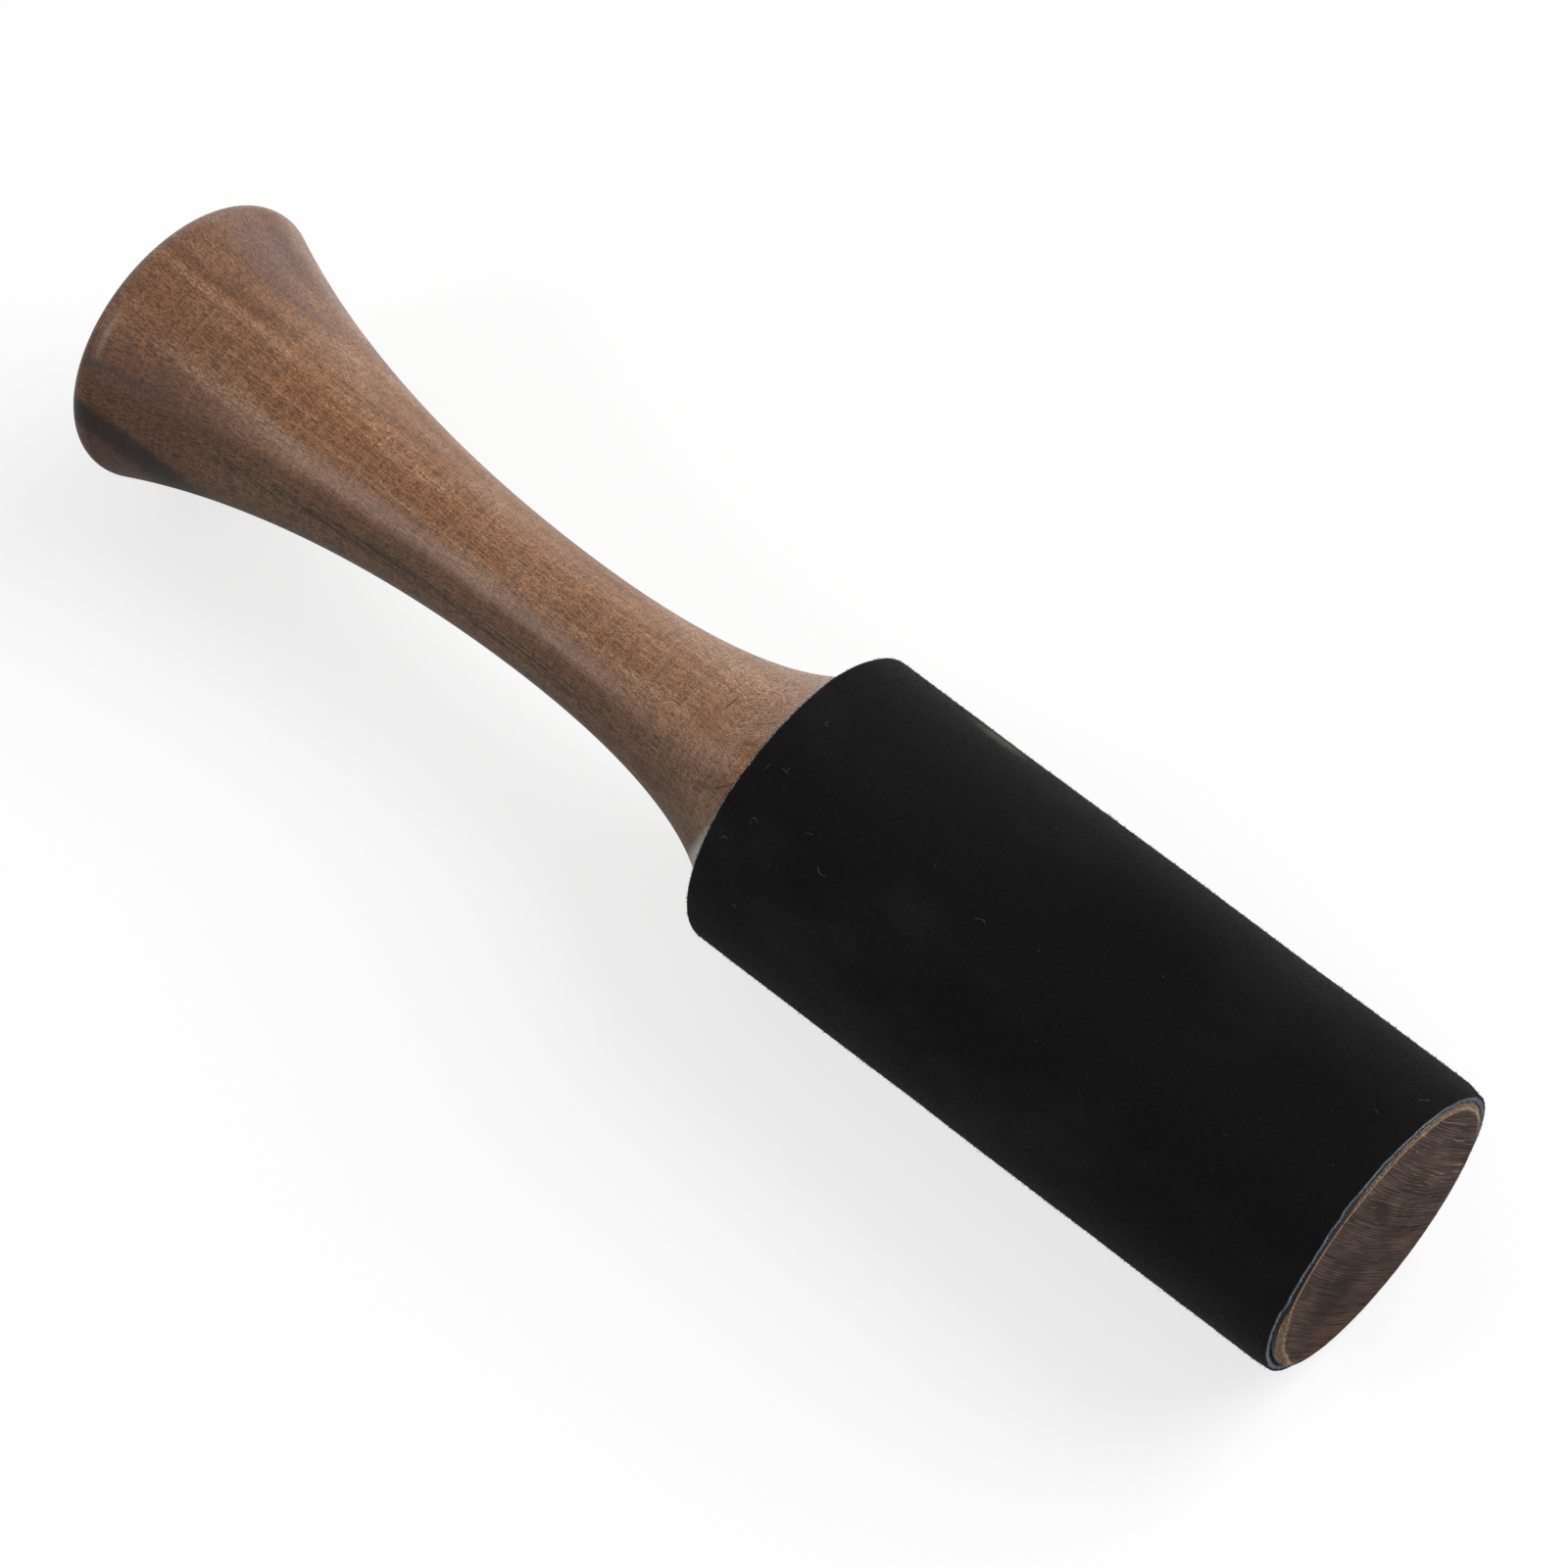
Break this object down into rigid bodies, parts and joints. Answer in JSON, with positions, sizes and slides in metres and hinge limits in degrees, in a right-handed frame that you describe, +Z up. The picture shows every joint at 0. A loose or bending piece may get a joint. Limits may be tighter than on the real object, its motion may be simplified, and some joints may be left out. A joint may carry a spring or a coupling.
{
  "type": "singing bowl mallet",
  "caption": "Turned hardwood mallet with a domed pommel, waisted grip and flared neck, its straight head wrapped in a glued suede sleeve, for striking or rubbing a bowl.",
  "frame": {"origin": "on the ground below the middle of the mallet's length, where the head's lowest line lies", "axes": "+X along the mallet towards the sawn striking end, parallel to its turning axis, +Y across it, +Z up with the mallet lying on its side"},
  "size_m": [0.2214, 0.0454, 0.0454],
  "materials": {
    "hardwood": "turned and sanded, thin satin oil finish, with a sawn end grain face",
    "contact_glue": "thin dried film of amber contact glue",
    "suede": "matte black nap, blue-grey core at the cut edge"
  },
  "bodies": {
    "root": {"turned_body": "hardwood", "glue_film": "contact_glue", "suede_sleeve": "suede"}
  },
  "joints": []
}
